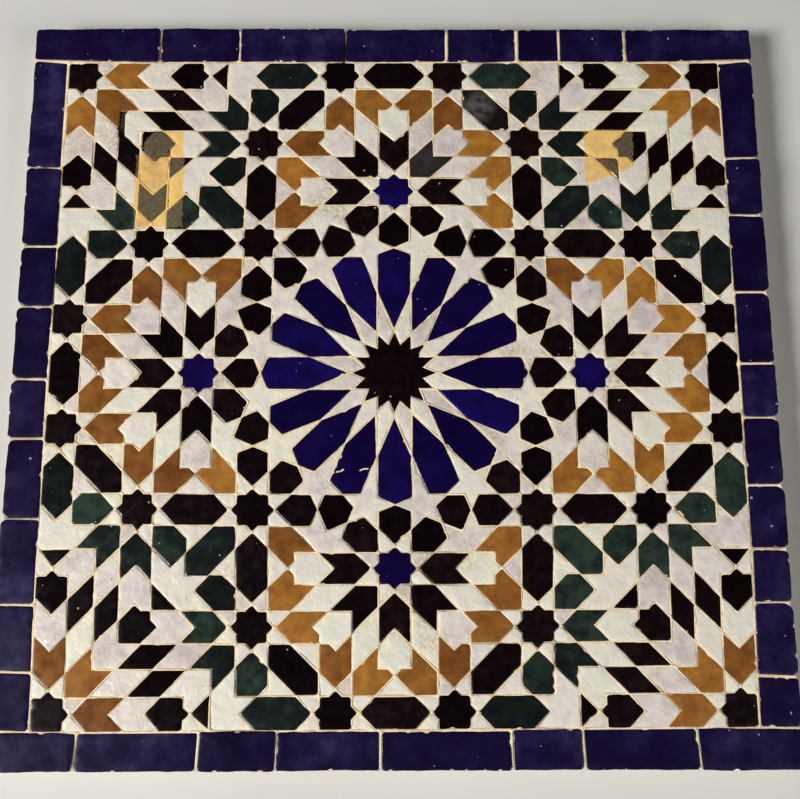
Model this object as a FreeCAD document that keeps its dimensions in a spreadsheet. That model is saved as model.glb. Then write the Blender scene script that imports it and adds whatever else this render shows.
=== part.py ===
import FreeCAD, Part
import math
import os

# Zellige mosaic panel: hand-cut glazed tiles set face up on a mortar bed.
# One square repeat of the pattern, a sixteen-petal rosette ringed by eight-pointed stars, with a
# border of blue strips. The origin is the centre of the bed's back and +Y is the panel's top edge.

DRIVING_SIZES = {
    "star_side": 26.4,           # side of the two squares that make an eight-pointed star
    "hexagon_edge": 32.3,        # long side of the hexagons that link neighbouring stars
    "petal_width": 28.0,         # across a petal of the middle rosette
    "joint_width": 1.2,          # between neighbouring tiles, at their glazed faces
    "tile_depth": 12.0,          # thickness of a cut tile
    "edge_taper": 5.0,           # degrees that the chiselled sides lean in towards the back
    "border_width": 32.0,        # the blue strips round the field
    "bed_depth": 16.0,           # mortar behind the tiles
}

# Strips of each border row in order, in millimetres. The longest one closes the row.
TOP_STRIPS = (114.0, 72.0, 95.0, 92.0, 64.0, 38.0, 60.0, 115.0)
LEFT_STRIPS = (105.0, 74.0, 55.0, 64.0, 51.0, 68.0, 70.0, 53.0, 46.0)
RIGHT_STRIPS = (96.0, 54.0, 71.0, 64.0, 47.0, 58.0, 53.0, 44.0, 59.0, 40.0)
BOTTOM_STRIPS = (70.0, 98.0, 62.0, 84.0, 104.0, 57.0, 92.0, 83.0)

doc = FreeCAD.newDocument("zellige_panel")
sheet = doc.addObject("Spreadsheet::Sheet", "Sheet")
for row, (alias, size) in enumerate(DRIVING_SIZES.items(), start=1):
    sheet.set(f"A{row}", str(size))
    sheet.setAlias(f"A{row}", alias)
doc.recompute()

# The octagonal grid. A hexagon and two of its kites span from star to star, and every place on
# the grid is a sum of the half spacing q and q times the root of two.
root = math.sqrt(2)
half = sheet.get("star_side") / 2
q = sheet.get("hexagon_edge") / 2 + (1 + root) * half
point = root * half                  # star centre to the tip of a star point
arm = (1 + root) * half              # star centre to where the outer corner of a kite lies
step = (root - 1) * half             # offset of a star's notches from its axes
petal = sheet.get("petal_width") / 2
near = q * (1 + root)                # first row of stars, from the middle
ring = q * (2 + root)                # blue stars on the axes
far = q * (3 + root)                 # second row of stars
rim = q * (3 + 2 * root)             # stars along the edge of the field
field_edge = rim + half
panel_edge = field_edge + sheet.get("border_width")
eighth = math.tan(math.pi / 8)


def polar(radius, degrees):
    angle = math.radians(degrees)
    return (radius * math.cos(angle), radius * math.sin(angle))


def placed(outline, centre=(0, 0), turn=0):
    """An outline turned about its own origin and moved to a centre."""
    c, n = polar(1, turn)
    return [(centre[0] + c * x - n * y, centre[1] + n * x + c * y) for x, y in outline]


def mirrored(outline, degrees=0):
    """An outline mirrored in the line through the origin at an angle."""
    c, n = polar(1, 2 * degrees)
    return [(c * x + n * y, n * x - c * y) for x, y in outline]


def middle(outline):
    return tuple(sum(p[i] for p in outline) / len(outline) for i in (0, 1))


def quarter(outlines):
    """The outlines of one quarter turn of the panel, which is mirror symmetric about four lines."""
    kept = []
    for outline in outlines:
        for turn in (0, 90, 180, 270):
            for copy in (placed(outline, turn=turn), placed(mirrored(outline), turn=turn)):
                x, y = middle(copy)
                if x > 0.01 and y > -0.01 and all(math.dist((x, y), middle(k)) > 0.1 for k in kept):
                    kept.append(copy)
    return kept


def inset(outline, gap):
    """An outline with every side moved inwards by a gap and the corners kept sharp."""
    area = sum(a[0] * b[1] - b[0] * a[1] for a, b in zip(outline, outline[1:] + outline[:1]))
    loop = outline if area > 0 else outline[::-1]
    lines = []
    for (ax, ay), (bx, by) in zip(loop, loop[1:] + loop[:1]):
        length = math.hypot(bx - ax, by - ay)
        nx, ny = (ay - by) / length, (bx - ax) / length
        lines.append((nx, ny, nx * ax + ny * ay + gap))
    corners = []
    for (a1, b1, c1), (a2, b2, c2) in zip(lines[-1:] + lines[:-1], lines):
        det = a1 * b2 - a2 * b1
        corners.append(((c1 * b2 - c2 * b1) / det, (a1 * c2 - a2 * c1) / det))
    return corners


# Shapes that recur, each drawn along +X from the centre of its own star

def star():
    return [polar(point if k % 2 == 0 else half / math.cos(math.pi / 8), 22.5 * k) for k in range(16)]


def kite():
    return [(point, 0), (half, step), (half, half), (arm, half)]


def hexagon():
    return [(point, 0), (arm, half), (2 * q - arm, half),
            (2 * q - point, 0), (2 * q - arm, -half), (arm, -half)]


def arrow():
    back = root * q - step
    return [(point, 0), (arm, half), (back, half), (root * q - point, 0), (back, -half), (arm, -half)]


def house(place):
    upper = [(place - step, half), (place + half, half), (place + half, step)]
    return [(place - point, 0)] + upper + [(place + point, 0)] + mirrored(upper)[::-1]


def hooked_arrow(place):
    return [(place + q - half, q - half), (place + q - arm, q - half), (place - step, half),
            (place + half, half), (place + half, step), (place + point, 0), (place + q - half, q - arm)]


def triangle(place):
    return [(place + point, 0), (place + q - half, q - arm), (place + q - half, arm - q)]


def slanted(start, end):
    """A parallelogram between two star rows, its sides along the row and at 45 degrees to it."""
    rise = q - 2 * half
    return [(start, half), (end, half), (end + rise, q - half), (start + rise, q - half)]


# Where the stars stand, in the first quarter
inner_stars = [(near, near), (far, near), (near, far)]
edge_stars = [((rim, q), 0), ((q, rim), 90)]
corner = (rim, rim)
blue_star = (ring, 0)
octagon_turns = (0, 45, -45, 90, -90)
corner_turns = (180, 225, 270)
octagon_end = root * q               # where the straps of an octagon cross, from its blue star
corner_end = 2 * q                   # the same for a corner rosette


def in_octagon(outline, turns=octagon_turns):
    return [placed(outline, blue_star, turn) for turn in turns]


def in_corner(outline, turns=(180,)):
    return [placed(outline, corner, turn) for turn in turns]


# Tiles of the middle rosette, which repeat every sixteenth or eighth of a turn
tip_in = petal / math.sin(math.pi / 8)
spike_in = petal / math.sin(math.pi * 3 / 16)
spike_out = petal / math.sin(math.pi / 16)
petal_tip = (near - half) / math.cos(math.pi / 8)
shoulder = petal_tip - petal * eighth

hub = [polar(tip_in if k % 2 == 0 else spike_in, 11.25 * k) for k in range(32)]
spike = [polar(spike_in, 11.25), polar(tip_in, 0), polar(spike_out, 11.25), polar(tip_in, 22.5)]
petal_outline = [(tip_in, 0), polar(spike_out, -11.25), (shoulder, -petal),
                 (petal_tip, 0), (shoulder, petal), polar(spike_out, 11.25)]

# The ring of black lanterns round the petals, and the white tiles between them
lantern_tip = q + half / math.cos(math.pi / 8)
axis_lantern = [(petal_tip, 0), (petal_tip + half * eighth, half), (ring - arm, half),
                (ring - point, 0), (ring - arm, -half), (petal_tip + half * eighth, -half)]
outer_lantern = [(near, near - point), (near + half, near - arm), (near + half, lantern_tip + half * eighth),
                 (near, lantern_tip), (near - half, lantern_tip + half * eighth), (near - half, near - arm)]
wedge_x = (lantern_tip + near * eighth) / (2 * eighth)
wedge_side = [(near, lantern_tip), (near - half, lantern_tip - half * eighth)]
wedge_lantern = ([(wedge_x, wedge_x * eighth)] + wedge_side + [(near - half, (near - half) * eighth)]
                 + mirrored(wedge_side, 22.5)[::-1])
side_lantern = mirrored(outer_lantern, 22.5)
flank = mirrored([(near - half, lantern_tip + half * eighth), (near, lantern_tip),
                  (near - half, lantern_tip - half * eighth)], 22.5)
dart = ([polar(spike_out, 11.25), (shoulder, petal), (petal_tip, 0), (petal_tip + half * eighth, half),
         (ring - arm, half)] + flank[:1] + flank[1:] + [polar(petal_tip, 22.5),
        placed([(shoulder, -petal)], turn=22.5)[0]])
inner_side = [(near, lantern_tip), (near + half, lantern_tip + half * eighth), (near + half, near - arm)]
crown = (inner_side + [(ring - half, octagon_end - step)] + mirrored(inner_side, 22.5)[::-1]
         + [(wedge_x, wedge_x * eighth)])

# Tiles that only occur once in an octant
chamfer = (2 - root) * half
house_end = octagon_end - half
green_house = [(point, 0), (arm, -half), (house_end, -half), (house_end, half - chamfer),
               (house_end - chamfer, half), (arm, half)]
corner_filler = [(arm, half), (house_end, octagon_end - arm), (house_end, half - chamfer),
                 (house_end - chamfer, half)]
green_house_seats = [((near, far), 90), ((far, near), 135)]
corner_x, corner_y = rim - 3 * q, rim - q
short_arrow = [(near + half, far + half), (near + arm, far + half),
               (corner_x + arm, corner_y + half), (corner_x + half, corner_y + half),
               (corner_x + half, corner_y + arm), (near + half, far + arm)]
long_arrow = [(near + point, far), (near + arm, far - half), (3 * q + arm, far - half),
              (3 * q + point, far), (3 * q + arm, far + half), (near + arm, far + half)]
knee = near + root * q
wing = [(far - half, 3 * q + arm), (far - half, near + arm),
        (far - q + point, near + q), (knee - half, knee - arm)]
great_tile = wing + [(knee - half, knee - half)] + mirrored(wing, 45)[::-1]
edge_tile = [(corner_x + half, corner_y + arm), (near + half, far + arm), (near + half, rim - half),
             (3 * q - arm, rim - half), (3 * q - point, rim), (3 * q - arm, field_edge),
             (corner_x + half, field_edge)]
edge_kite = [(corner_end + point, 0), (corner_end + half, -step),
             (corner_end + half, -half), (3 * q - half, -half)]
edge_triangle = [(corner_end + point, 0), (3 * q - half, q - arm), (3 * q - half, -half)]
chevron_back = corner_end - step
chevron = [(octagon_end - point, 0), (octagon_end - step, half), (chevron_back, half),
           (corner_end - point, 0), (chevron_back, -half), (octagon_end - step, -half)]
slant = q - 2 * half
side = (corner_end - octagon_end) / root
rhomb_start, rhomb_end = octagon_end - step + slant, chevron_back + slant
outer_rhomb = [(rhomb_start, q - half), (rhomb_end, q - half),
               (rhomb_end + side, q - half + side), (rhomb_start + side, q - half + side)]
parallelogram = slanted(octagon_end - step, chevron_back)
rhomb = slanted(arm, octagon_end - step)

edge_cut = star()[2:15]                          # a star without the point that the border cuts off
corner_cut = [star()[2]] + star()[6:15]
kites = [placed(kite(), centre, 45 * k) for centre in inner_stars + [blue_star] for k in range(8)]
kites += [placed(kite(), centre, turn + 45 * k) for centre, turn in edge_stars for k in range(1, 7)]
kites += [placed(kite(), corner, 45 * k) for k in range(3, 7)]
hexagons = [placed(hexagon(), (near, near), 0), placed(hexagon(), (near, far), 135),
            placed(hexagon(), (-q, rim), 0)]

# Every kind of tile, as the outlines of one sector, by how often the sector repeats in a full turn
ONE_TURN = {"hub_star": [hub]}
SIXTEENTHS = {"rosette_spikes": [spike], "rosette_petals": [petal_outline]}
EIGHTHS = {
    "rosette_darts": [dart, mirrored(dart)],
    "rosette_crowns": [crown],
    "ring_lanterns": [axis_lantern, wedge_lantern, side_lantern, mirrored(side_lantern)],
}
QUARTERS = {
    "black_stars": ([placed(star(), centre) for centre in inner_stars]
                    + [placed(edge_cut, centre, turn) for centre, turn in edge_stars]
                    + [placed(corner_cut, corner)]),
    "blue_stars": [placed(star(), blue_star)],
    "star_kites": kites + in_corner(edge_kite),
    "black_arrows": in_octagon(arrow()),
    "white_houses": in_octagon(house(octagon_end)),
    "white_triangles": in_octagon(triangle(octagon_end)),
    "white_rhombs": (in_octagon(rhomb, (0, 45, -45, -90)) + in_corner(rhomb, (180, 225))
                     + in_corner(outer_rhomb)),
    "ochre_hooked_arrows": (in_octagon(hooked_arrow(octagon_end))
                            + in_octagon(mirrored(hooked_arrow(octagon_end)))),
    "ochre_arrows": in_corner(arrow(), corner_turns),
    "black_hexagons": hexagons,
    "green_hexagons": [placed(hexagon(), (near, near), 45), placed(hexagon(), (q, rim), 0)],
    "green_houses": [placed(green_house, centre, turn) for centre, turn in green_house_seats],
    "green_arrows": [short_arrow, long_arrow],
    "white_fillers": [placed(corner_filler, centre, turn) for centre, turn in green_house_seats],
    "white_chevrons": in_corner(chevron, corner_turns),
    "white_hooked_arrows": (in_corner(hooked_arrow(corner_end))
                            + in_corner(mirrored(hooked_arrow(corner_end), 22.5))),
    "white_great_tiles": [great_tile, edge_tile],
    "black_parallelograms": in_corner(parallelogram) + in_corner(mirrored(parallelogram, 22.5)),
    "black_houses": in_corner(house(corner_end), corner_turns),
    "black_triangles": in_corner(edge_triangle) + in_corner(triangle(corner_end), (225,)),
}


def strips(lengths, start, end, low, high, upright=False):
    """A border row of cut strips, whose longest strip takes up what the others leave.

    A row runs from left to right, or from the top down when it stands upright.
    """
    closing = lengths.index(max(lengths))
    spare = end - start - sum(lengths)
    row, place = [], start
    for k, length in enumerate(lengths):
        stop = place + length + (spare if k == closing else 0)
        outline = [(place, low), (stop, low), (stop, high), (place, high)]
        row.append(placed(outline, turn=-90) if upright else outline)
        place = stop
    return row


# The top and bottom rows run over the corners, and the side rows stand between them
ONE_TURN["border_top"] = strips(TOP_STRIPS, -panel_edge, panel_edge, field_edge, panel_edge)
ONE_TURN["border_bottom"] = strips(BOTTOM_STRIPS, -panel_edge, panel_edge, -panel_edge, -field_edge)
ONE_TURN["border_left"] = strips(LEFT_STRIPS, -field_edge, field_edge, -panel_edge, -field_edge, True)
ONE_TURN["border_right"] = strips(RIGHT_STRIPS, -field_edge, field_edge, field_edge, panel_edge, True)


def origin_feature(body, role):
    return next(f for f in body.Origin.OriginFeatures if f.Role == role)


def cut_tiles(name, outlines, sectors):
    """One kind of tile: outlines at the glazed face, padded back with the sides leaning in."""
    body = doc.addObject("PartDesign::Body", name)
    body.Label = name
    sketch = body.newObject("Sketcher::SketchObject", name + "_faces")
    sketch.AttachmentSupport = [(origin_feature(body, "XY_Plane"), "")]
    sketch.MapMode = "FlatFace"
    for outline in outlines:
        corners = [FreeCAD.Vector(x, y, 0) for x, y in inset(outline, sheet.get("joint_width") / 2)]
        ends = corners[1:] + corners[:1]
        sketch.addGeometry([Part.LineSegment(a, b) for a, b in zip(corners, ends)], False)
    pad = body.newObject("PartDesign::Pad", name + "_cut")
    pad.Profile = sketch
    pad.Reversed = True
    pad.setExpression("Length", "Sheet.tile_depth")
    doc.recompute()
    upright = [abs(face.normalAt(0, 0).z) < 0.5 for face in pad.Shape.Faces]
    sides = [f"Face{k}" for k, is_side in enumerate(upright, start=1) if is_side]
    chiselled = body.newObject("PartDesign::Draft", name + "_chiselled")
    chiselled.Base = (pad, sides)
    chiselled.NeutralPlane = (origin_feature(body, "XY_Plane"), [""])
    chiselled.Reversed = True
    chiselled.setExpression("Angle", "Sheet.edge_taper")
    body.Tip = chiselled
    doc.recompute()
    if sectors > 1:
        turns = body.newObject("PartDesign::PolarPattern", name + "_turns")
        turns.TransformMode = "Whole shape"
        turns.Axis = (origin_feature(body, "Z_Axis"), [""])
        turns.Angle = 360
        turns.Occurrences = sectors
        body.Tip = turns
    body.setExpression("Placement.Base.z", "Sheet.bed_depth + Sheet.tile_depth")
    return body


# The bed: one slab of lime mortar that every tile is seated on
bed = doc.addObject("Part::Box", "mortar_bed")
bed.Label = "mortar_bed"
star_spacing = "(Sheet.hexagon_edge + (1 + sqrt(2)) * Sheet.star_side)"
bed_span = f"2 * ({star_spacing} * (1.5 + sqrt(2)) + Sheet.star_side / 2 + Sheet.border_width)"
bed.setExpression("Length", bed_span)
bed.setExpression("Width", bed_span)
bed.setExpression("Height", "Sheet.bed_depth")
bed.setExpression("Placement.Base.x", f"-({bed_span}) / 2")
bed.setExpression("Placement.Base.y", f"-({bed_span}) / 2")

nodes = [bed]
nodes += [cut_tiles(name, outlines, 1) for name, outlines in ONE_TURN.items()]
nodes += [cut_tiles(name, outlines, 16) for name, outlines in SIXTEENTHS.items()]
nodes += [cut_tiles(name, outlines, 8) for name, outlines in EIGHTHS.items()]
nodes += [cut_tiles(name, quarter(outlines), 4) for name, outlines in QUARTERS.items()]
doc.recompute()

for item in doc.Objects:
    if "Invalid" in item.State or "Error" in item.State:
        raise RuntimeError(f"{item.Label} did not build: {item.State}")
for node in nodes:
    if node.Shape.isNull() or not node.Shape.isValid():
        raise RuntimeError(f"{node.Label} is not a valid solid")

os.makedirs("parts", exist_ok=True)
for node in nodes:
    node.Shape.exportStep(os.path.join("parts", node.Label + ".step"))
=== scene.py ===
import math
import random

import bpy
import numpy as np
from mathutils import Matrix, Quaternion, Vector, noise
from mathutils.geometry import delaunay_2d_cdt


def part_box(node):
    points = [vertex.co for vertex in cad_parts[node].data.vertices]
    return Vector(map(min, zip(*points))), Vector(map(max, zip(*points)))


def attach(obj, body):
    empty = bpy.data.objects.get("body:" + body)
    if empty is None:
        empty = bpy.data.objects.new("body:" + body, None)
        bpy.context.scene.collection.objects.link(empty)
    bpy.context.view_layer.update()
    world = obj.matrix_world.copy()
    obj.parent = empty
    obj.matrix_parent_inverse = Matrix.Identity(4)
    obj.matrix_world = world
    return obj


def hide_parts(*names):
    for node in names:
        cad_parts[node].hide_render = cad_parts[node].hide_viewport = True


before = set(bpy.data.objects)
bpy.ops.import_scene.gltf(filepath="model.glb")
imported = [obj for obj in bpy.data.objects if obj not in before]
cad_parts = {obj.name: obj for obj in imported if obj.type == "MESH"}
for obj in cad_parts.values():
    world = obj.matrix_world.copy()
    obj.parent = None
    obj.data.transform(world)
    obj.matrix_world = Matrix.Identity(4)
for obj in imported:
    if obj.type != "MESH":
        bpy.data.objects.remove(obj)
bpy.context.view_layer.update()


# Mortar bed
# The slab of lime and sand mortar that carries the tiles, 16 mm thick.
# It is trowelled on wet behind the laid tiles, so its edge is pitted and its arrises crumble.
MM = 0.001


def srgb(red, green, blue):
    """A colour as the eye names it, 0 to 255, in the linear values that a shader takes."""
    shares = [value / 255 for value in (red, green, blue)]
    return (*(share / 12.92 if share < 0.0404 else ((share + 0.055) / 1.055) ** 2.4 for share in shares), 1.0)


def wire(tree, kind, settings=None, **inputs):
    """A node of this kind with its settings, and each input set or joined.

    An underscore in an input's name is a space, and i0, i1 and so on are inputs by their place.
    """
    made = tree.nodes.new("ShaderNode" + kind)
    for name, value in (settings or {}).items():
        setattr(made, name, value)
    for name, value in inputs.items():
        by_place = name[0] == "i" and name[1:].isdigit()
        socket = made.inputs[int(name[1:]) if by_place else name.replace("_", " ")]
        if isinstance(value, bpy.types.NodeSocket):
            tree.links.new(value, socket)
        else:
            socket.default_value = value
    return made


def sums(tree, operation, *values, clamp=False):
    """One step of arithmetic on values that change over the surface."""
    places = {f"i{place}": value for place, value in enumerate(values)}
    return wire(tree, "Math", {"operation": operation, "use_clamp": clamp}, **places).outputs[0]


def panel_place(tree):
    """Where a point of the surface lies on the panel, in metres."""
    return wire(tree, "TexCoord").outputs["Object"]


def random_clouds(tree, where, scale, detail, roughness=0.5):
    """Soft random clouds, between 0 and 1."""
    made = wire(tree, "TexNoise", Vector=where, Scale=scale, Detail=detail, Roughness=roughness)
    return made.outputs["Fac"]


def stretched(tree, value, low, high, to_low=0.0, to_high=1.0):
    """A value spread from one range to another, and held within it."""
    made = wire(tree, "MapRange", Value=value, From_Min=low, From_Max=high, To_Min=to_low, To_Max=to_high)
    return made.outputs[0]


def blend_colours(tree, share, first, second, how="MIX"):
    """Two colours laid over each other."""
    settings = {"data_type": "RGBA", "blend_type": how}
    return wire(tree, "Mix", settings, i0=share, i6=first, i7=second).outputs[2]


def effect_group(name, takes, gives):
    """An empty node group with named sockets, for an effect that several finishes share."""
    tree = bpy.data.node_groups.new(name, "ShaderNodeTree")
    for side, sockets in (("INPUT", takes), ("OUTPUT", gives)):
        for socket, kind in sockets.items():
            tree.interface.new_socket(socket, in_out=side, socket_type="NodeSocket" + kind)
    return tree, tree.nodes.new("NodeGroupInput").outputs, tree.nodes.new("NodeGroupOutput").inputs


def placed(tree, group, **inputs):
    """A shared effect placed in a finish."""
    return wire(tree, "Group", {"node_tree": group}, **inputs).outputs


def finish_of(name):
    """A new finish: its node tree and its shader."""
    finish = bpy.data.materials.new(name)
    finish.use_nodes = True
    return finish, finish.node_tree, finish.node_tree.nodes["Principled BSDF"]


def add_relief(tree, shader, height, strength, distance):
    """Gives a finish the relief that is too fine for its mesh."""
    bump = wire(tree, "Bump", Strength=strength, Distance=distance, Height=height)
    tree.links.new(bump.outputs[0], shader.inputs["Normal"])


# Sand grains and lime clots, which the bed and the joints share.
sandy_lime, takes, gives = effect_group(
    "sandy_lime", {"Lime": "Color", "Sand": "Color", "Grain": "Float"},
    {"Colour": "Color", "Height": "Float"})
where = panel_place(sandy_lime)
grain = random_clouds(sandy_lime, where, scale=takes["Grain"], detail=5.0, roughness=0.7)
clots = random_clouds(sandy_lime, where, scale=45.0, detail=4.0, roughness=0.65)
stain = stretched(sandy_lime, clots, 0.47, 0.68)
speck = stretched(sandy_lime, grain, 0.42, 0.7)
share = sums(sandy_lime, "MULTIPLY", sums(sandy_lime, "ADD", stain, speck), 0.5, clamp=True)
sandy_lime.links.new(blend_colours(sandy_lime, share, takes["Lime"], takes["Sand"]), gives["Colour"])
height = sums(sandy_lime, "MULTIPLY_ADD", clots, 0.6, grain)
sandy_lime.links.new(height, gives["Height"])

bed_mortar, tree, shader = finish_of("lime_mortar_bed")
lime = placed(tree, sandy_lime, Lime=srgb(214, 203, 180), Sand=srgb(160, 138, 108), Grain=900.0)
tree.links.new(lime["Colour"], shader.inputs["Base Color"])
shader.inputs["Roughness"].default_value = 0.93
add_relief(tree, shader, lime["Height"], strength=0.7, distance=0.6 * MM)


def divide_outline(corners, spacing, reach):
    """Points along a closed outline, for drawing it in by as much as reach.

    Each has its inward way and its distance from the nearest corner. A corner that stands out also has
    how far it can be blunted, and the points keep clear of it.
    """
    corners = np.asarray(corners, float)
    along = np.roll(corners, -1, 0) - corners
    length = np.linalg.norm(along, axis=1)
    along /= length[:, None]
    inward = np.c_[-along[:, 1], along[:, 0]]
    before = np.roll(inward, 1, 0)
    cosine = (inward * before).sum(1)
    stands_out = (np.roll(along, 1, 0) * inward).sum(1) < 0
    spare_reach = 1.15 * reach
    least_clear = 0.45 * spacing
    shortest_run = 0.2 * spacing
    clear = np.where(stands_out, spare_reach * np.sqrt((1 - cosine) / (1 + cosine)), 0)
    clear = np.maximum(clear, least_clear)
    points, ways, room, blunt = [], [], [], []
    for here, corner in enumerate(corners):
        way = (before[here] + inward[here]) / (1 + cosine[here])
        points.append(corner)
        ways.append(way)
        room.append(0.0)
        blunt.append(float(stands_out[here]) / np.linalg.norm(way))
        start = clear[here]
        end = length[here] - clear[(here + 1) % len(corners)]
        if end - start > shortest_run:
            steps = max(1, round((end - start) / spacing))
            for far in np.linspace(start, end, steps + 1):
                points.append(corner + along[here] * far)
                ways.append(inward[here])
                room.append(min(far, length[here] - far))
                blunt.append(0.0)
    return np.array(points), np.array(ways), np.array(room), np.array(blunt)


def strip(lower, upper):
    """The faces between two closed rows of points, seen from outside."""
    pairs = zip(lower, lower[1:] + lower[:1], upper, upper[1:] + upper[:1])
    return [(low, next_low, next_high, high) for low, next_low, high, next_high in pairs]


def new_piece(name, points, faces, finish, **values):
    """A smooth mesh piece in the panel's frame, with a value for each point where its finish needs one."""
    mesh = bpy.data.meshes.new(name)
    mesh.from_pydata([tuple(point) for point in points], [], faces)
    for label, numbers in values.items():
        layer = mesh.attributes.new(label, "FLOAT", "POINT")
        layer.data.foreach_set("value", np.asarray(numbers, np.float32))
    mesh.polygons.foreach_set("use_smooth", [True] * len(mesh.polygons))
    mesh.materials.append(finish)
    piece = bpy.data.objects.new(name, mesh)
    bpy.context.scene.collection.objects.link(piece)
    return piece


# The bed's edge is built in rows, at these heights in millimetres. Its pits and crumbled arrises go inwards.
# Pits and breaks are counted to the metre, along the edge and up it.
bed_low, bed_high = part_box("mortar_bed")
bed_rows = (0.0, 0.6, 2.5, 5.0, 7.5, 10.0, 12.5, 14.8, 15.7, 16.0)
bed_spacing = 3.2 * MM
pit_depth = 1.1 * MM
pits_along = 110
pits_up = 160
crumble_depth = 0.9 * MM
crumble_reach = 1.5
arris_breaks = 60
bed_corners = [(bed_low.x, bed_low.y), (bed_high.x, bed_low.y),
               (bed_high.x, bed_high.y), (bed_low.x, bed_high.y)]
edge, ways, _, _ = divide_outline(bed_corners, bed_spacing, pit_depth + crumble_depth)
points, faces, rows = [], [], []
for height in bed_rows:
    rows.append(list(range(len(points), len(points) + len(edge))))
    from_arris = min(height, bed_rows[-1] - height)
    lost = crumble_depth * max(0, 1 - from_arris / crumble_reach)
    for spot, way in zip(edge, ways):
        x, y = spot
        pitted = noise.fractal((x * pits_along, y * pits_along, height * MM * pits_up), 1.0, 2.0, 3)
        pit = abs(pitted) * pit_depth
        crumbled = lost * 0.6 * (1 + noise.noise((x * arris_breaks, y * arris_breaks, 3.0)))
        x, y = spot + way * (pit + crumbled)
        points.append((x, y, height * MM))
for lower, upper in zip(rows, rows[1:]):
    faces += strip(lower, upper)
faces += [tuple(reversed(rows[0])), tuple(rows[-1])]
bed = new_piece("trowelled_mortar_bed", points, faces, bed_mortar)
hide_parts("mortar_bed")
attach(bed, "root")


# Hub star
# The black star in the middle of the rosette, chiselled from a square of fired, glazed clay.
# Like every tile here it has a hand-cut edge that leans in to the back, and a soft lip of glaze.


def point_value(tree, name):
    """A value that the mesh gives for each of its points."""
    return wire(tree, "Attribute", {"attribute_name": name}).outputs["Fac"]


# Clouding in the glaze, which starts afresh on each tile, as each was cut from another square.
kiln_clouds, takes, gives = effect_group(
    "kiln_clouds", {"Scale": "Float", "Tile Change": "Float", "Clouding": "Float"},
    {"Mask": "Float", "Height": "Float"})
cloud_steps = {"X": 9.1, "Y": 5.3, "Z": 7.7}
tone = point_value(kiln_clouds, "tone")
steps = {axis: sums(kiln_clouds, "MULTIPLY", tone, far) for axis, far in cloud_steps.items()}
step = wire(kiln_clouds, "CombineXYZ", **steps).outputs[0]
where = wire(kiln_clouds, "VectorMath", i0=panel_place(kiln_clouds), i1=step).outputs[0]
cloud = random_clouds(kiln_clouds, where, scale=takes["Scale"], detail=5.0, roughness=0.62)
cloud = stretched(kiln_clouds, cloud, 0.25, 0.75, -0.5, 0.5)
shift = sums(kiln_clouds, "MULTIPLY", sums(kiln_clouds, "SUBTRACT", tone, 0.5), takes["Tile Change"])
middle = sums(kiln_clouds, "ADD", shift, 0.5)
mask = sums(kiln_clouds, "MULTIPLY_ADD", cloud, takes["Clouding"], middle, clamp=True)
kiln_clouds.links.new(mask, gives["Mask"])
waviness = random_clouds(kiln_clouds, where, scale=150.0, detail=3.0, roughness=0.6)
kiln_clouds.links.new(waviness, gives["Height"])

# Pinholes and grit: small pale specks that dust and lime have filled.
pin_specks, takes, gives = effect_group(
    "pin_specks", {"Scale": "Float", "Share": "Float", "Size": "Float"}, {"Mask": "Float", "Dome": "Float"})
cell = wire(pin_specks, "TexVoronoi", Vector=panel_place(pin_specks), Scale=takes["Scale"])
chance = wire(pin_specks, "SeparateColor", Color=cell.outputs["Color"]).outputs
radius = sums(pin_specks, "MULTIPLY", chance[1], takes["Size"])
hole = sums(pin_specks, "LESS_THAN", cell.outputs["Distance"], radius)
chosen = sums(pin_specks, "LESS_THAN", chance[0], takes["Share"])
pin_specks.links.new(sums(pin_specks, "MULTIPLY", hole, chosen), gives["Mask"])
from_middle = sums(pin_specks, "DIVIDE", cell.outputs["Distance"], radius)
dome = sums(pin_specks, "SUBTRACT", 1.0, from_middle, clamp=True)
pin_specks.links.new(sums(pin_specks, "MULTIPLY", dome, chosen), gives["Dome"])

# Bare fired clay, where the chisel or a knock has taken the glaze off.
bare_clay, takes, gives = effect_group(
    "bare_clay", {"Colour": "Color", "Roughness": "Float", "Clay": "Color"},
    {"Colour": "Color", "Roughness": "Float"})
where = panel_place(bare_clay)
uneven = sums(bare_clay, "SUBTRACT", random_clouds(bare_clay, where, scale=700.0, detail=3.0), 0.5)
loss = sums(bare_clay, "MULTIPLY_ADD", uneven, 0.7, point_value(bare_clay, "bare"))
loss = stretched(bare_clay, loss, 0.5, 0.62)
mottle = stretched(bare_clay, random_clouds(bare_clay, where, scale=260.0, detail=4.0), 0.35, 0.7)
clay = blend_colours(bare_clay, mottle, takes["Clay"], srgb(196, 150, 92))
bare_clay.links.new(blend_colours(bare_clay, loss, takes["Colour"], clay), gives["Colour"])
rough = sums(bare_clay, "MULTIPLY_ADD", loss, 0.6, takes["Roughness"], clamp=True)
bare_clay.links.new(rough, gives["Roughness"])

# Two patches of old amber size, brushed on the finished face: clear enough to show the tiles, but matt.
amber_size, takes, gives = effect_group(
    "amber_size", {"Colour": "Color", "Roughness": "Float", "Share": "Float"},
    {"Colour": "Color", "Roughness": "Float"})
size_fray = 2.8 * MM
where = panel_place(amber_size)
fray = wire(amber_size, "TexNoise", Vector=where, Scale=260.0, Detail=4.0).outputs["Color"]
fray = wire(amber_size, "VectorMath", {"operation": "MULTIPLY_ADD"}, i0=fray,
            i1=(2 * size_fray,) * 3, i2=(-size_fray,) * 3).outputs[0]
frayed = wire(amber_size, "VectorMath", i0=where, i1=fray).outputs[0]
across, upwards, _ = wire(amber_size, "SeparateXYZ", i0=frayed).outputs


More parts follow.
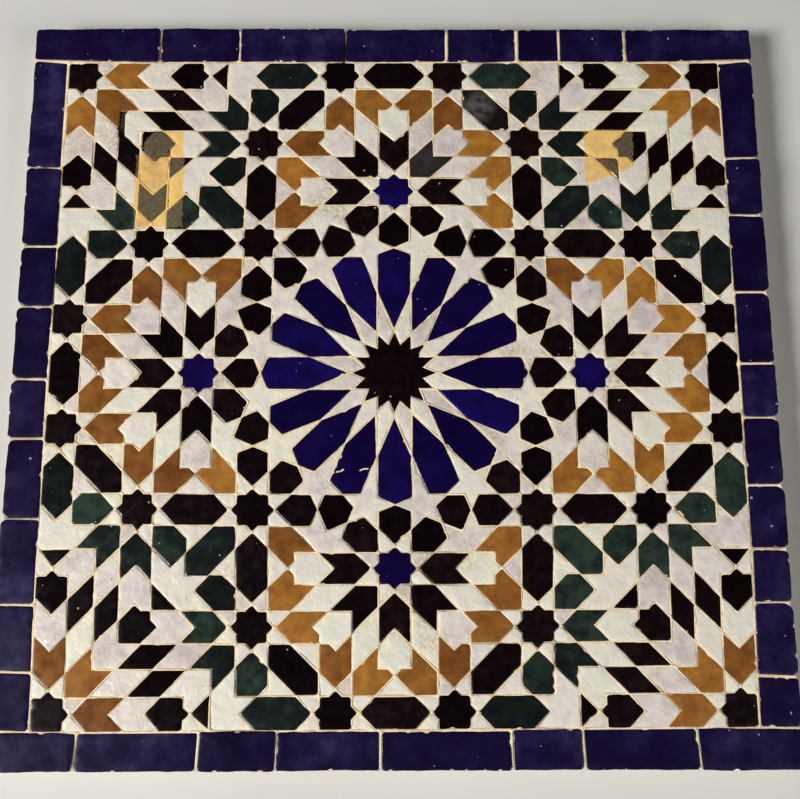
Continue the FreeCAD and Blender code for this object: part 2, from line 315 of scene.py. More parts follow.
def patch(left, right, foot, top, lean=0.0):
    """How far inside a brushed patch a place is, in metres. Its sides are in millimetres.

    Lean makes its lower edge rise to the right.
    """
    from_left = sums(amber_size, "SUBTRACT", across, left * MM)
    from_right = sums(amber_size, "SUBTRACT", right * MM, across)
    from_top = sums(amber_size, "SUBTRACT", top * MM, upwards)
    from_foot = sums(amber_size, "SUBTRACT", upwards, (foot - lean * left) * MM)
    from_foot = sums(amber_size, "MULTIPLY_ADD", across, -lean, from_foot)
    sideways = sums(amber_size, "MINIMUM", from_left, from_right)
    return sums(amber_size, "MINIMUM", sideways, sums(amber_size, "MINIMUM", from_foot, from_top))


left_patch = patch(-228.3, -185.4, 132.0, 200.0)
left_head = patch(-204.0, -187.0, 190.0, 222.6)
right_patch = patch(169.0, 213.0, 172.4, 224.6, lean=0.36)
daub_middle = (-207.9 * MM, 207.7 * MM)
daub_radius = 14.5 * MM
aside, above = (sums(amber_size, "POWER", sums(amber_size, "SUBTRACT", place, middle), 2.0)
                for place, middle in zip((across, upwards), daub_middle))
from_daub = sums(amber_size, "SQRT", sums(amber_size, "ADD", aside, above))
daub = sums(amber_size, "SUBTRACT", daub_radius, from_daub)
inside = left_patch
for part in (left_head, right_patch, daub):
    inside = sums(amber_size, "MAXIMUM", inside, part)
film = sums(amber_size, "MULTIPLY", stretched(amber_size, inside, -0.2 * MM, 0.3 * MM), takes["Share"])
brush = random_clouds(amber_size, where, scale=400.0, detail=6.0, roughness=0.75)
thick = stretched(amber_size, brush, 0.38, 0.62, to_low=0.78)
gritty = stretched(amber_size, brush, 0.4, 0.6, to_low=0.4)
stained = blend_colours(amber_size, thick, takes["Colour"], srgb(250, 210, 103), "MULTIPLY")
dusty = blend_colours(amber_size, gritty, stained, srgb(98, 80, 54), "ADD")
amber_size.links.new(blend_colours(amber_size, film, takes["Colour"], dusty), gives["Colour"])
rough = sums(amber_size, "MULTIPLY_ADD", film, 0.55, takes["Roughness"], clamp=True)
amber_size.links.new(rough, gives["Roughness"])


def glaze(name, ramp, cloud_scale, tile_change, clouding, roughness, specks, clay, ripple=0.12 * MM,
          rim=None, stain=None, blisters=0.0):
    """A fired glaze: a ramp of the colours it clouds between, its pinholes, bare edges and the size on it.

    Specks are the pinholes' scale, share, size and colour. Rim is the colour laid along each tile's edge:
    partly the cream where the glaze thins, partly a painted highlight on the rounded edge. Stain is that of
    old dirt, and blisters say how far small blisters stand up.
    """
    finish, tree, shader = finish_of(name)
    where = panel_place(tree)
    clouds = placed(tree, kiln_clouds, Scale=cloud_scale, Tile_Change=tile_change, Clouding=clouding)
    colours = wire(tree, "ValToRGB", Fac=clouds["Mask"])
    stops = colours.color_ramp.elements
    for at, _ in ramp[2:]:
        stops.new(at)
    for stop, (at, colour) in zip(stops, sorted(ramp)):
        stop.position = at
        stop.color = colour
    scale, share, size, speck_colour = specks
    holes = placed(tree, pin_specks, Scale=scale, Share=share, Size=size)["Mask"]
    surface = blend_colours(tree, holes, colours.outputs[0], speck_colour)
    if rim:
        # Towards the edge the glaze turns to the brighter rim colour: partly a cream edge tint, partly a
        # painted highlight.
        uneven = stretched(tree, random_clouds(tree, where, scale=120.0, detail=4.0), 0.36, 0.62)
        edge_tint_and_highlight = sums(tree, "MULTIPLY", point_value(tree, "rim"), uneven)
        surface = blend_colours(tree, edge_tint_and_highlight, surface, rim)
    if stain:
        cloud = stretched(tree, random_clouds(tree, where, scale=17.0, detail=3.0), 0.58, 0.72)
        grime = random_clouds(tree, where, scale=330.0, detail=5.0, roughness=0.7)
        grime = stretched(tree, grime, 0.4, 0.66, to_high=0.75)
        surface = blend_colours(tree, sums(tree, "MULTIPLY", cloud, grime), surface, stain)
    scuffs = random_clouds(tree, where, scale=110.0, detail=5.0, roughness=0.55)
    scuffs = stretched(tree, scuffs, 0.3, 0.75)
    worn, dull = point_value(tree, "worn"), point_value(tree, "dull")
    scuffed = sums(tree, "MULTIPLY_ADD", worn, scuffs, dull, clamp=True)
    surface = blend_colours(tree, scuffed, surface, srgb(112, 104, 104))
    rough = stretched(tree, clouds["Mask"], 0.0, 1.0, roughness, roughness * 1.7)
    rough = sums(tree, "MULTIPLY_ADD", holes, 0.5, rough)
    rough = sums(tree, "MULTIPLY_ADD", scuffed, 0.45, rough, clamp=True)
    chipped = placed(tree, bare_clay, Colour=surface, Roughness=rough, Clay=clay)
    sized = placed(tree, amber_size, Colour=chipped["Colour"], Roughness=chipped["Roughness"], Share=1.0)
    tree.links.new(sized["Colour"], shader.inputs["Base Color"])
    tree.links.new(sized["Roughness"], shader.inputs["Roughness"])
    height = sums(tree, "SUBTRACT", clouds["Height"], sums(tree, "MULTIPLY", holes, 0.5))
    if blisters:
        raised = placed(tree, pin_specks, Scale=75.0, Share=0.1, Size=0.15)["Dome"]
        height = sums(tree, "MULTIPLY_ADD", raised, blisters, height)
    add_relief(tree, shader, height, strength=0.5, distance=ripple)
    return finish


# A face is the tile's top when its normal points up by this much. Corners are matched to a hundredth of a
# millimetre, and a point where the outline turns by less than this is no corner.
upward = 0.9
matching_steps = 1e5
least_turn = 1e-3


def tile_outlines(node):
    """The outline of each tile's face in a CAD node, corner by corner, leftwards round."""
    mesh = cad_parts[node].data
    spots, edges = {}, {}
    for face in mesh.polygons:
        if face.normal.z > upward:
            keys = []
            for number in face.vertices:
                place = mesh.vertices[number].co
                keys.append((round(place.x * matching_steps), round(place.y * matching_steps)))
                spots[keys[-1]] = (place.x, place.y)
            for start, end in zip(keys, keys[1:] + keys[:1]):
                edges[start, end] = True
    follows = {start: end for start, end in edges if (end, start) not in edges}
    outlines = []
    while follows:
        spot = next(iter(follows))
        loop = []
        while spot in follows:
            loop.append(spots[spot])
            spot = follows.pop(spot)
        loop = np.array(loop)
        ahead = np.roll(loop, -1, 0) - loop
        behind = loop - np.roll(loop, 1, 0)
        turn = behind[:, 0] * ahead[:, 1] - behind[:, 1] * ahead[:, 0]
        straight = least_turn * np.linalg.norm(ahead, axis=1) * np.linalg.norm(behind, axis=1)
        outlines.append(loop[np.abs(turn) > straight])
    return outlines


def inside_outline(spots, loop):
    """Which spots lie inside a closed outline."""
    x, y = spots[:, 0][:, None], spots[:, 1][:, None]
    start_x, start_y = loop.T
    end_x, end_y = np.roll(start_x, -1), np.roll(start_y, -1)
    rise = np.where(end_y == start_y, 1.0, end_y - start_y)
    left_of = x < (end_x - start_x) * (y - start_y) / rise + start_x
    crosses = ((start_y > y) != (end_y > y)) & left_of
    return crosses.sum(1) % 2 == 1


def gap_to_outline(spots, loop):
    """How far each spot is from a closed outline."""
    along = np.roll(loop, -1, 0) - loop
    share = ((spots[:, None] - loop) * along).sum(2) / (along * along).sum(1)
    nearest = loop + np.clip(share, 0, 1)[..., None] * along
    return np.sqrt(((spots[:, None] - nearest) ** 2).sum(2)).min(1)


# The setter's drift, in millimetres: the middle rosette came out a little large, and the rows outside it were
# pressed in to fit, at the top and at the foot. It fades out towards the panel's edge.
rosette_spread = (2.9, 1.8)
spread_reach = 273.0
top_press = 2.8
foot_press = 3.3
foot_lift = 1.4
press_start = 160.0
press_length = 100.0
edge_hold = 26 * MM


def as_laid(outline):
    """An outline moved to where the setter's hand put it. The panel's own edge stays in its line."""
    x, y = outline.T / MM
    far = np.maximum(np.hypot(x, y), 1.0)
    swell = np.sin(np.pi * np.minimum(far, spread_reach) / spread_reach) / far
    foot = np.clip((-y - press_start) / press_length, 0, 1)
    top = np.clip((y - press_start) / press_length, 0, 1)
    side = outline[:, 0] / bed_high.x
    right = rosette_spread[0] * swell * x - foot_press * side * foot
    up = rosette_spread[1] * swell * y - top_press * top + foot_lift * side * foot
    held = np.clip((bed_high.x - np.abs(outline).max(1)) / edge_hold, 0, 1)
    return outline + np.c_[right, up] * held[:, None] * MM


# Joints that stand wide open: a place on each, and how far the tiles beside it stand back, in millimetres.
open_joints = ((-293.8, 231.1, 0.7), (-246.0, 159.1, 0.4), (-265.6, 202.8, 0.4), (-225.2, 210.5, 0.7),
               (-82.1, 227.9, 0.5), (244.3, 214.4, 0.4), (264.5, 198.9, 0.4), (-293.7, -276.9, 1.2),
               (-128.2, -159.2, 0.4), (136.8, -166.7, 0.7), (290.9, -183.7, 0.5), (-15.7, -53.5, 0.8),
               (-27.1, -94.5, 0.5), (-52.8, 251.3, 0.6), (-46.1, 305.0, 0.9), (-46.6, -71.0, 0.5))
open_joint_reach = 1.4 * MM

# A corner is cut back or left proud by no more than this.
most_cut_back = 1.6 * MM
most_left_proud = 0.45 * MM

# Corners sharper than this stay as they are. A rounding takes up to this share of the edges beside it, and
# has points no further apart than this.
sharp_corner = math.radians(80)
most_rounded = 0.34
rounding_step = 1.1 * MM

# The side strips' outer corners are broken off further: by how many times, and how far those rows reach.
side_break = 2.2
side_rows = 295 * MM
side_edge = bed_high.x - 2 * MM


def hand_cut(outline, luck, fit, nose):
    """The outline as the chisel left it: each edge in or out of its line, so its joint is tight or open.

    Fit is the mean, spread, least and most of that in millimetres, inwards. Nose is the range of the
    corners' radius.
    """
    ahead = np.roll(outline, -1, 0) - outline
    length = np.linalg.norm(ahead, axis=1)
    ahead /= length[:, None]
    inward = np.c_[-ahead[:, 1], ahead[:, 0]]
    mean, spread, least, most = fit
    steps = [max(least, min(most, luck.gauss(mean, spread))) for _ in outline]
    for x, y, stand_back in open_joints:
        place = np.array((x, y)) * MM
        along = np.clip(((place - outline) * ahead).sum(1), 0, length)
        off = np.linalg.norm(outline + ahead * along[:, None] - place, axis=1)
        if off.min() < open_joint_reach:
            steps[int(off.argmin())] = stand_back
    moved = []
    for here, corner in enumerate(outline):
        sides = [inward[here - 1], inward[here]]
        shift = np.linalg.solve(sides, [steps[here - 1] * MM, steps[here] * MM])
        furthest = most_cut_back if shift @ (sides[0] + sides[1]) > 0 else most_left_proud
        far = np.linalg.norm(shift)
        moved.append(corner + shift * furthest / max(far, furthest))
    moved = np.array(moved)
    ahead = np.roll(moved, -1, 0) - moved
    length = np.linalg.norm(ahead, axis=1)
    ahead /= length[:, None]
    rounded = []
    for here, corner in enumerate(moved):
        back, on = -ahead[here - 1], ahead[here]
        half = math.acos(max(-1, min(1, back @ on))) / 2
        stands_out = on[0] * back[1] - on[1] * back[0] > 0
        at_side = abs(outline[here][0]) > side_edge and abs(outline[here][1]) < side_rows
        radius = luck.uniform(*nose) * MM * (side_break if at_side else 1.0)
        reach = min(radius / math.tan(half), most_rounded * min(length[here - 1], length[here]))
        radius = reach * math.tan(half)
        if stands_out and 2 * half > sharp_corner:
            middle = corner + (back + on) / np.linalg.norm(back + on) * radius / math.sin(half)
            first = corner + back * reach - middle
            turn = math.pi - 2 * half
            parts = 1 + math.ceil(turn * radius / rounding_step)
            for angle in math.atan2(first[1], first[0]) + turn * np.linspace(0, 1, parts + 1):
                rounded.append(middle + radius * np.array([math.cos(angle), math.sin(angle)]))
        else:
            rounded.append(corner)
    return np.array(rounded)


# A chip's depth, the share of it that the points beside it have, and how near to a corner it fades.
chip_depth = (0.35, 1.0)
chip_shares = ((-1, 0.45), (0, 1.0), (1, 0.45))
chip_clear = 4 * MM

# How far a flake chips an edge, as a share of its radius, how near to a corner that fades, and how steeply
# the flake goes in.
flake_edge = 1.4
flake_clear = 3 * MM
flake_steep = 2.2


def knocked_chips(edge, room, luck, chip_rate, flakes):
    """How far each point of an edge is chipped, from 0 to 1: by chance, and where a flake reaches it."""
    chips = np.zeros(len(edge))
    for here in range(len(edge)):
        if luck.random() < chip_rate:
            depth = luck.uniform(*chip_depth)
            for beside, share in chip_shares:
                at = (here + beside) % len(edge)
                chips[at] = max(chips[at], depth * share * min(1, room[at] / chip_clear))
    for x, y, radius in flakes:
        gap = np.linalg.norm(edge - (x * MM, y * MM), axis=1) / (radius * MM)
        chips = np.maximum(chips, np.clip(flake_edge - gap, 0, 1) * np.clip(room / flake_clear, 0, 1))
    return chips


def flaked(spot, flakes):
    """How far the glaze has flaked off at a spot, from 0 to 1."""
    gaps = [math.dist(spot, (x * MM, y * MM)) / (radius * MM) for x, y, radius in flakes]
    return max(0.0, min(1.0, flake_steep * (1 - min(gaps, default=1.0))))


# The net of points over a tile's face: how far apart they and their rows are, how far each strays, in
# millimetres, and how far it keeps from the lip. A flake has a spiral of points of its own.
net_pitch = 5.2 * MM
net_row_pitch = 0.87 * net_pitch
net_stray = 0.5
net_clear = 1.1 * MM
flake_points = 26
flake_spread = 1.5
spiral_turn = 2.4


def face_net(lip_row, luck, flakes):
    """Points over a tile's face, closer together where glaze has flaked off, with their gaps to the lip."""
    left, foot = lip_row.min(0)
    right, top = lip_row.max(0)
    net = []
    for x in np.arange(left, right, net_pitch):
        for row, y in enumerate(np.arange(foot, top, net_row_pitch)):
            stray_x = luck.uniform(-net_stray, net_stray) * MM
            stray_y = luck.uniform(-net_stray, net_stray) * MM
            net.append((x + (row % 2) * net_pitch / 2 + stray_x, y + stray_y))
    for x, y, radius in flakes:
        for turn in range(flake_points):
            far = flake_spread * radius * MM * math.sqrt((turn + 0.5) / flake_points)
            angle = turn * spiral_turn
            net.append((x * MM + far * math.cos(angle), y * MM + far * math.sin(angle)))
    net = np.array(net)
    net = net[inside_outline(net, lip_row)]
    gaps = gap_to_outline(net, lip_row)
    kept = gaps > net_clear
    return net[kept], gaps[kept]


# The lip of the glaze, row by row from the cut edge inwards. Inset is how far in a row lies, and drop how far
# below the face, in millimetres. A chip bites into it and sinks it by so much more. Wobble is its share of
# the edge's wobble, bare how bare of glaze it is, bared how much more a chip bares it, and rim its share of
# the rim's colour, a cream edge tint that is partly a painted highlight.
glaze_lip = (
    dict(inset=0.0, drop=0.8, bite=0.0, sink=0.45, wobble=1.0, bare=0.52, bared=0.0, rim=1.0),
    dict(inset=0.1, drop=0.36, bite=0.405, sink=0.5, wobble=1.0, bare=0.08, bared=1.0, rim=0.6),
    dict(inset=0.36, drop=0.11, bite=0.81, sink=0.3, wobble=1.0, bare=0.0, bared=1.3, rim=0.4),
    dict(inset=0.95, drop=0.0, bite=0.9, sink=0.03, wobble=0.7, bare=0.0, bared=0.0, rim=0.3),
)
lip_reach = 1.2 * MM
edge_spacing = 2.4 * MM
rim_reach = 1.8 * MM
flake_drop = 0.5 * MM
side_lean = math.tan(math.radians(5))
back_clear = 0.15 * MM
scuff_reach = 17 * MM
broken_reach = 3 * MM

# Every edge is cut back by this many millimetres, apart from its jags and waves. A tip no wider than a right
# angle is blunted by more.
even_cut = 0.03
narrow_tip = 0.72
blunted_by = (0.3, 0.9)

# How far tiles tilt as a rule: a slope, or a rise where the tile is large. How far a tile's level and lumps
# can stray, as shares of what is usual in its group.
usual_tilt = 0.02
usual_rise = 0.72 * MM
most_sunk = 2.2
most_raised = 1.6
lump_range = (0.6, 1.5)

# How many random lumps there are to a metre of face, and jags and waves to a metre of edge. Every tile has
# its own layer of that randomness, out of so many.
broad_lumps = 70
fine_lumps = 170
edge_jags = 130
edge_waves = 40
random_layers = 40

# What the triangulation is told: to fill the outline only, and how close two points count as one.
fill_inside = 1
same_spot = 1e-7
laid_outlines = []


def lay_tiles(node, finish, lumps=0.1, wobble=0.26, chip_rate=0.02, worn=(), flakes=(), broken=(),
              levels=0.12, fit=(-0.44, 0.22, -0.58, 0.4), nose=(1.7, 3.4), wave=0.4):
    """Cuts and lays every tile of a node, with a chipped edge, a glaze lip, leaning sides and a lumpy face.

    Sizes are in millimetres. Lumps, wobble, wave and levels say how far faces, edges and heights stray. Worn
    are places on the face with how scuffed they are and how dull that tile is. Flakes are places with a
    radius. Broken are corners, with how far they moved right and upwards.
    """
    low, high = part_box(node)
    points, faces = [], []
    values = {"tone": [], "bare": [], "rim": [], "worn": [], "dull": []}
    for number, outline in enumerate(tile_outlines(node)):
        luck = random.Random(f"{node} {number}")
        outline = as_laid(outline)
        for x, y, right, up in broken:
            near = np.linalg.norm(outline - (x * MM, y * MM), axis=1) < broken_reach
            outline[near] += (right * MM, up * MM)
        outline = hand_cut(outline, luck, fit, nose)
        laid_outlines.append(outline)
        edge, ways, room, blunt = divide_outline(outline, edge_spacing, lip_reach)
        count = len(edge)
        middle = (outline.min(0) + outline.max(0)) / 2
        span = np.linalg.norm(outline.max(0) - outline.min(0))
        tilt = np.array([luck.gauss(0, 1), luck.gauss(0, 1)]) * min(usual_tilt, usual_rise / span)
        lift = max(-most_sunk * levels, min(most_raised * levels, luck.gauss(0, levels))) * MM
        own = luck.random() * random_layers
        relief = lumps * luck.uniform(*lump_range) * MM

        def face_height(spot):
            """The height of this tile's face, with its level, its tilt and its own lumps."""
            x, y = spot
            broad = noise.noise((x * broad_lumps, y * broad_lumps, own))
            fine = noise.noise((x * fine_lumps, y * fine_lumps, own + 9))
            return high.z + lift + (spot - middle) @ tilt + (broad + fine / 2) * relief

        chips = knocked_chips(edge, room, luck, chip_rate, flakes)
        jags = np.array([noise.noise((x * edge_jags, y * edge_jags, own + 3)) for x, y in edge])
        waves = np.array([noise.noise((x * edge_waves, y * edge_waves, own + 6)) for x, y in edge])
        tips = np.array([tip * luck.uniform(*blunted_by) if tip < narrow_tip else 0 for tip in blunt])
        cut = even_cut + wobble * jags + wave * waves + tips
        rings = []
        for lip in glaze_lip:
            rings.append(list(range(len(points), len(points) + count)))
            inset = cut * lip["wobble"] + lip["inset"] + chips * lip["bite"]
            row = edge + ways * inset[:, None] * MM
            for spot, chip in zip(row, chips):
                sunk = (lip["drop"] + chip * lip["sink"]) * MM
                points.append((spot[0], spot[1], face_height(spot) - sunk))
                values["bare"].append(lip["bare"] + chip * lip["bared"])
                values["rim"].append(lip["rim"])
        back_row = list(range(len(points), len(points) + count))
        back = edge + ways * ((high.z - low.z) * side_lean + back_clear)
        points += [(x, y, low.z) for x, y in back]
        values["bare"] += [1.0] * count
        values["rim"] += [1.0] * count
        for outer, inner in ((back_row, rings[0]), *zip(rings, rings[1:])):
            faces += strip(outer, inner)
        faces.append(tuple(reversed(back_row)))
        net, gaps = face_net(row, luck, flakes)
        flat = [Vector(spot) for spot in (*row, *net)]
        lip_loop = [list(range(count))]
        spots, _, patches, origin, _, _ = delaunay_2d_cdt(flat, [], lip_loop, fill_inside, same_spot)
        if len(spots) == len(flat) and all(len(source) == 1 for source in origin):
            start = len(points)
            for spot, gap in zip(net, gaps):
                gone = flaked(spot, flakes)
                points.append((spot[0], spot[1], face_height(spot) - gone * flake_drop))
                values["bare"].append(gone)
                values["rim"].append(glaze_lip[-1]["rim"] * math.exp(-gap / rim_reach))
            corners = [*rings[-1], *range(start, len(points))]
            faces += [tuple(corners[origin[place][0]] for place in face) for face in patches]
        else:
            # Where the lip's row crosses or touches itself, the face is one piece without a net.
            faces.append(tuple(rings[-1]))
        values["tone"] += [luck.random()] * (len(points) - len(values["tone"]))
        wear = [mark for mark in worn if inside_outline(np.array([mark[:2]]) * MM, outline)[0]]
        x, y, scuff, dull = wear[0] if wear else (0.0, 0.0, 0.0, 0.0)
        for spot in points[len(values["worn"]):]:
            gap = math.dist(spot[:2], (x * MM, y * MM)) / scuff_reach
            values["worn"].append(scuff * max(0.0, 1 - gap * gap))
            values["dull"].append(dull)
    piece = new_piece(node + "_laid", points, faces, finish, **values)
    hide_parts(node)
    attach(piece, "root")


pale_clay = srgb(226, 205, 168)
black_glaze = glaze("black_glaze", [(0.0, srgb(4, 0, 1)), (1.0, srgb(23, 8, 10)), (0.6, srgb(11, 2, 4))],
                    cloud_scale=120.0, tile_change=0.5, clouding=0.9, roughness=0.16,
                    specks=(300.0, 0.014, 0.3, srgb(150, 140, 134)), clay=pale_clay)
lay_tiles("hub_star", black_glaze)


# Rosette spikes
# Sixteen long white tiles between the petals, cut from squares with an ivory tin glaze.
# Each is chiselled to a point and set with its tip against the hub star.
# Its rim colour, brighter than its body, is partly the cream of the thin edge and partly a painted highlight.
white_glaze = glaze("white_glaze", [(0.0, srgb(186, 174, 168)), (1.0, srgb(222, 213, 188)),
                                    (0.28, srgb(205, 194, 188)), (0.55, srgb(214, 206, 192)),
                                    (0.8, srgb(209, 207, 193))],
                    cloud_scale=75.0, tile_change=0.8, clouding=0.75, roughness=0.24,
                    specks=(260.0, 0.03, 0.22, srgb(150, 128, 96)), clay=srgb(232, 206, 160),
                    ripple=1.9 * MM, rim=srgb(238, 224, 190), stain=srgb(158, 128, 88), blisters=0.7)
lay_tiles("rosette_spikes", white_glaze, lumps=0.44)


# Rosette petals
# Sixteen blue petals round the hub, in a deep cobalt glaze on fired clay.
# Each is cut to one template and set in a ring. One near the foot is cracked, with its glaze knocked off.
petal_glaze = glaze("petal_blue_glaze", [(0.0, srgb(9, 1, 38)), (1.0, srgb(19, 6, 80)),
                                         (0.55, srgb(13, 3, 54))],
                    cloud_scale=55.0, tile_change=0.5, clouding=0.8, roughness=0.15,
                    specks=(300.0, 0.014, 0.26, srgb(98, 96, 142)), clay=srgb(236, 226, 204))
crack_runs = (((-45.9, -65.4), (-45.4, -76.0), (-48.7, -80.9)),
              ((-52.1, -86.7), (-47.2, -85.2), (-43.8, -84.3), (-42.9, -82.9)),
              ((-28.6, -84.3), (-26.6, -82.9), (-22.4, -82.9)))
crack_step = 0.65
crack_stray = 0.12
crack_width = (0.6, 0.95)
crack = []
ragged = random.Random("petal crack")
for run in crack_runs:
    for (x, y), (to_x, to_y) in zip(run, run[1:]):
        for part in np.arange(0, 1, crack_step / math.dist((x, y), (to_x, to_y))):
            flake_x = x + (to_x - x) * part + ragged.gauss(0, crack_stray)
            flake_y = y + (to_y - y) * part + ragged.gauss(0, crack_stray)
            crack.append((flake_x, flake_y, ragged.uniform(*crack_width)))
lay_tiles("rosette_petals", petal_glaze, flakes=crack)


# Rosette darts and crowns
# White tiles that close the rosette: pointed darts between the petals' outer ends,
# and crowns behind the ring. Both are ivory-glazed clay, set with a thin joint.
for node in ("rosette_darts", "rosette_crowns"):
    lay_tiles(node, white_glaze, lumps=0.46)


# Ring lanterns
# Thirty-two small black tiles, lantern-shaped, in the ring that frames the rosette.
# They are cut from black-glazed squares, and laid point to point.
lay_tiles("ring_lanterns", black_glaze)


# Stars
# Eight-pointed stars where the strapwork crosses: black ones over the field and four blue ones.
# All are cut from glazed squares. The notches of each are filled by small white kites.
lay_tiles("black_stars", black_glaze)
lay_tiles("blue_stars", petal_glaze)
lay_tiles("star_kites", white_glaze, lumps=0.46)


# Octagons round the blue stars
# Rays round each blue star: black arrows, white houses, triangles and rhombs,
# and golden hooked arrows in an iron glaze that breaks from honey to red-brown.
lay_tiles("black_arrows", black_glaze, worn=((27.5, 195.1, 0.15, 0.1),),
          flakes=((-26.4, 185.2, 0.9),))
for node in ("white_houses", "white_triangles", "white_rhombs"):
    lay_tiles(node, white_glaze, lumps=0.46)
ochre_glaze = glaze("ochre_glaze", [(0.0, srgb(98, 56, 23)), (1.0, srgb(163, 109, 41)),
                                    (0.45, srgb(126, 78, 31)), (0.75, srgb(145, 94, 35))],
                    cloud_scale=75.0, tile_change=0.75, clouding=0.8, roughness=0.22,
                    specks=(330.0, 0.04, 0.28, srgb(100, 56, 24)), clay=pale_clay)
lay_tiles("ochre_hooked_arrows", ochre_glaze)


# Links between stars
# Long hexagons that join star to star, black or green by turns, with green houses and arrows
# and white fillers beside them. The green is a copper glaze, dark as bottle glass.
green_glaze = glaze("green_glaze", [(0.0, srgb(13, 15, 16)), (1.0, srgb(38, 54, 44)),
                                    (0.5, srgb(21, 28, 26))],
                    cloud_scale=85.0, tile_change=0.7, clouding=0.9, roughness=0.17,
                    specks=(300.0, 0.02, 0.3, srgb(140, 146, 134)), clay=pale_clay)
lay_tiles("black_hexagons", black_glaze, worn=((76.5, 247.6, 0.85, 0.03),),
          flakes=((-62.7, 254.5, 1.2),))
for node in ("green_hexagons", "green_houses", "green_arrows"):
    lay_tiles(node, green_glaze)
lay_tiles("white_fillers", white_glaze, lumps=0.46)


# Corner rosettes
# Quarter rosettes in the corners: golden arrows, white chevrons, hooked arrows and great tiles,
# and black parallelograms, houses and triangles, each chiselled from its own glazed square.
lay_tiles("ochre_arrows", ochre_glaze)
for node in ("white_chevrons", "white_hooked_arrows", "white_great_tiles"):
    lay_tiles(node, white_glaze, lumps=0.5,
              broken=((-244.4, 242.4, 4.6, -1.5), (-244.4, 225.0, 4.6, -4.6)))
lay_tiles("black_parallelograms", black_glaze, chip_rate=0.03, flakes=((-234.9, 223.2, 2.0),))
lay_tiles("black_houses", black_glaze, chip_rate=0.03)
lay_tiles("black_triangles", black_glaze)


# Border
# Cut strips of dark blue tile of uneven length, laid in one row along each edge of the panel.
# Their outer edges are left as the hammer broke them, wavy and knocked.
border_glaze = glaze("border_blue_glaze", [(0.0, srgb(12, 3, 33)), (1.0, srgb(39, 32, 70)),
                                           (0.5, srgb(16, 5, 43)), (0.75, srgb(24, 14, 54))],
                     cloud_scale=38.0, tile_change=0.5, clouding=0.95, roughness=0.2,
                     specks=(260.0, 0.02, 0.3, srgb(130, 130, 160)), clay=srgb(232, 222, 204))
for node in ("border_top", "border_bottom", "border_left", "border_right"):
    lay_tiles(node, border_glaze, wobble=0.4, chip_rate=0.05, levels=0.3,
              fit=(0.1, 0.35, -0.3, 0.9), nose=(1.4, 3.8), wave=0.7)


# Joint mortar
# Fine cream lime, pressed and brushed into the joints when the panel was laid.
# It stands just below the glaze, ridged up against some tiles and washed out along others.
joint_mortar, tree, shader = finish_of("cream_joint_mortar")
lime = placed(tree, sandy_lime, Lime=srgb(232, 214, 178), Sand=srgb(190, 152, 100), Grain=700.0)
# Where the mortar lies deeper it is painted dark brown: painted shade in the joint's recess, partly grime.
deep_painted_shade_and_grime = stretched(tree, point_value(tree, "sunk"), 0.2, 0.75)
lime_shaded_and_grimed = blend_colours(tree, deep_painted_shade_and_grime, lime["Colour"], srgb(44, 27, 19))
sized = placed(tree, amber_size, Colour=lime_shaded_and_grimed, Share=0.85)
tree.links.new(sized["Colour"], shader.inputs["Base Color"])
shader.inputs["Roughness"].default_value = 0.9
add_relief(tree, shader, lime["Height"], strength=0.6, distance=0.4 * MM)


def gap_to_line(spot, start, end):
    """How far a spot is from a straight line between two places, all in millimetres."""
    way = np.subtract(end, start)
    from_start = np.subtract(spot, start)
    share = max(0, min(1, from_start @ way / (way @ way)))
    return np.linalg.norm(from_start - share * way)


# The mortar reaches a little under each tile's edge, and keeps back from the edge of the bed.
face_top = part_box("hub_star")[1].z
joint_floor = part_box("hub_star")[0].z
joint_bite = 0.45 * MM
joint_spacing = 3.6 * MM
rim_inset = 3.0 * MM
rim_reach_in = 1.2 * rim_inset
rim_spacing = 4 * MM
flat, loops = [], []
for outline in laid_outlines:
    edge, ways, _, _ = divide_outline(outline, joint_spacing, lip_reach)
    edge = edge + ways * joint_bite
    loops.append(list(range(len(flat), len(flat) + len(edge))))
    flat += [Vector(spot) for spot in edge]
rim, rim_ways, _, _ = divide_outline(bed_corners, rim_spacing, rim_reach_in)
loops.append(list(range(len(flat), len(flat) + len(rim))))
flat += [Vector(spot) for spot in rim + rim_ways * rim_inset]
spots, _, patches, _, _, within = delaunay_2d_cdt(flat, [], loops, fill_inside, same_spot)
panel = len(loops) - 1
tops = [tuple(face) for face, loops_round in zip(patches, within) if list(loops_round) == [panel]]
used = sorted({corner for face in tops for corner in face})
index = {corner: number for number, corner in enumerate(used)}

# How far the mortar stands below the face and how far its swells and grains rise, in millimetres, with how
# many of them there are to a metre. Where it is washed out: the joint's ends, how far to the sides, how deep.
joint_depth = 0.38
least_depth = 0.02
most_depth = 1.6
swell_rise = 0.8
swell_count = 21
grain_rise = 0.35
grain_count = 160
washed_out = (((-242.6, 241.0), (-242.6, 223.0), 5.0, 4.0),
              ((-46.2, 294.0), (-46.1, 321.0), 3.0, 5.0),
              ((-58.0, 245.5), (-48.0, 257.0), 1.9, 3.0))
points, faces, sunk = [], [], []
for corner in used:
    x, y = spots[corner]
    swell = swell_rise * noise.noise((x * swell_count, y * swell_count, 5.0))
    grain = grain_rise * noise.noise((x * grain_count, y * grain_count, 8.0))
    lost = min(most_depth, max(least_depth, joint_depth - swell - grain))
    for start, end, reach, depth in washed_out:
        gap = gap_to_line((x / MM, y / MM), start, end) / reach
        lost = max(lost, depth * (1 - gap * gap))
    points.append((x, y, face_top - lost * MM))
    sunk.append(min(1.0, lost / 2))
points += [(x, y, joint_floor) for x, y, _ in points]
sunk += sunk
below = len(used)
sides = {}
for face in tops:
    here = [index[corner] for corner in face]
    faces.append(tuple(here))
    faces.append(tuple(corner + below for corner in reversed(here)))
    for start, end in zip(here, here[1:] + here[:1]):
        sides[start, end] = True
faces += [(end, start, start + below, end + below) for start, end in sides if (end, start) not in sides]
joints = new_piece("brushed_joint_mortar", points, faces, joint_mortar, sunk=sunk)
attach(joints, "root")


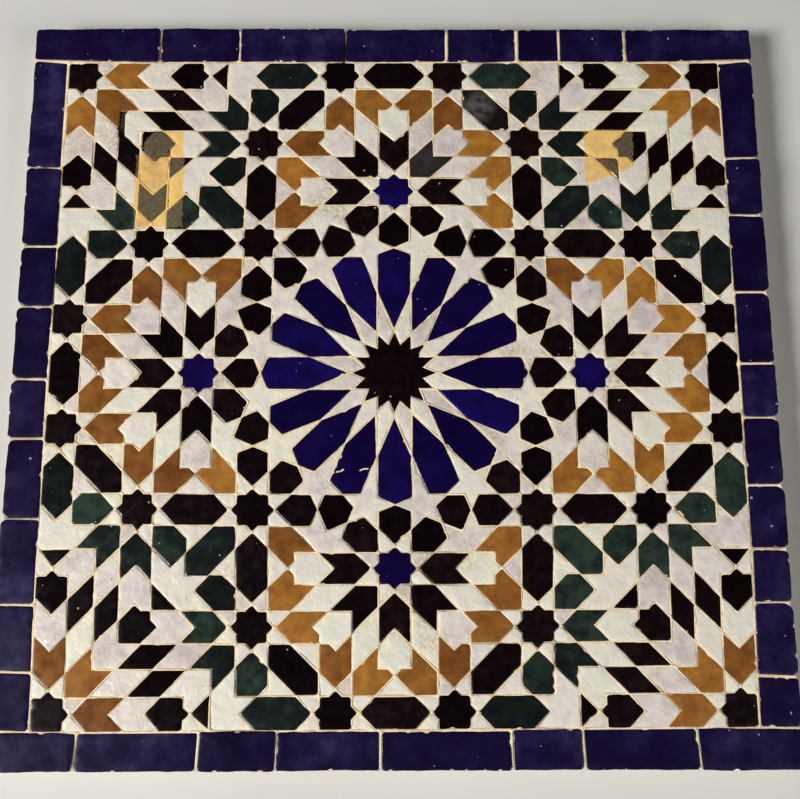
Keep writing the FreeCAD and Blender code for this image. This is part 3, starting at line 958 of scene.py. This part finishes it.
# Floor, light, camera
# A pale floor under the panel, a broad soft light from the left with a fill on the right,
# and a camera that looks down from the panel's foot, as the picture was taken.
floor_finish, tree, shader = finish_of("pale_floor")
haze = random_clouds(tree, panel_place(tree), scale=3.0, detail=3.0)
pale = blend_colours(tree, haze, srgb(192, 189, 184), srgb(203, 201, 196))
tree.links.new(pale, shader.inputs["Base Color"])
shader.inputs["Roughness"].default_value = 0.8
floor_half = 4.0
floor_gap = 0.3 * MM
floor_corners = [(-floor_half, -floor_half, 0), (floor_half, -floor_half, 0),
                 (floor_half, floor_half, 0), (-floor_half, floor_half, 0)]
floor = new_piece("studio_floor", floor_corners, [(0, 1, 2, 3)], floor_finish)
floor.location.z = -floor_gap


def soft_light(name, place, size, power):
    """A square soft box that faces the middle of the panel."""
    lamp = bpy.data.lights.new(name, "AREA")
    lamp.size = size
    lamp.energy = power
    holder = bpy.data.objects.new(name, lamp)
    holder.location = place
    holder.rotation_mode = "QUATERNION"
    holder.rotation_quaternion = (-Vector(place)).to_track_quat("-Z", "Y")
    bpy.context.scene.collection.objects.link(holder)


soft_light("key_soft_box", (-2.75, -1.1, 2.5), size=1.3, power=197.0)
soft_light("fill_soft_box", (2.6, -1.8, 2.2), size=2.0, power=62.0)

# The air gives the panel little light, but shows as a pale grey behind the floor.
air_light = 0.025
air_seen = 0.35
sky = bpy.data.worlds.new("studio_air")
sky.use_nodes = True
background = sky.node_tree.nodes["Background"]
background.inputs["Color"].default_value = (0.9, 0.95, 1.0, 1.0)
seen = wire(sky.node_tree, "LightPath").outputs["Is Camera Ray"]
strength = stretched(sky.node_tree, seen, 0.0, 1.0, air_light, air_seen)
sky.node_tree.links.new(strength, background.inputs["Strength"])
bpy.context.scene.world = sky
bpy.context.scene.view_settings.view_transform = "Standard"

camera_place = Vector((-0.00215, -0.26971, 1.04016))
camera_aim = Vector((0.00467, -0.02342, 0.028))
camera_roll = math.radians(1.46)
lens = bpy.data.cameras.new("camera")
lens.sensor_fit = "HORIZONTAL"
lens.sensor_width = 36.0
lens.lens = 55.493
camera = bpy.data.objects.new("camera", lens)
camera.location = camera_place
camera.rotation_mode = "QUATERNION"
level_view = (camera_aim - camera_place).to_track_quat("-Z", "Y")
camera.rotation_quaternion = level_view @ Quaternion((0, 0, 1), camera_roll)
bpy.context.scene.collection.objects.link(camera)
bpy.context.scene.camera = camera

bpy.context.view_layer.update()
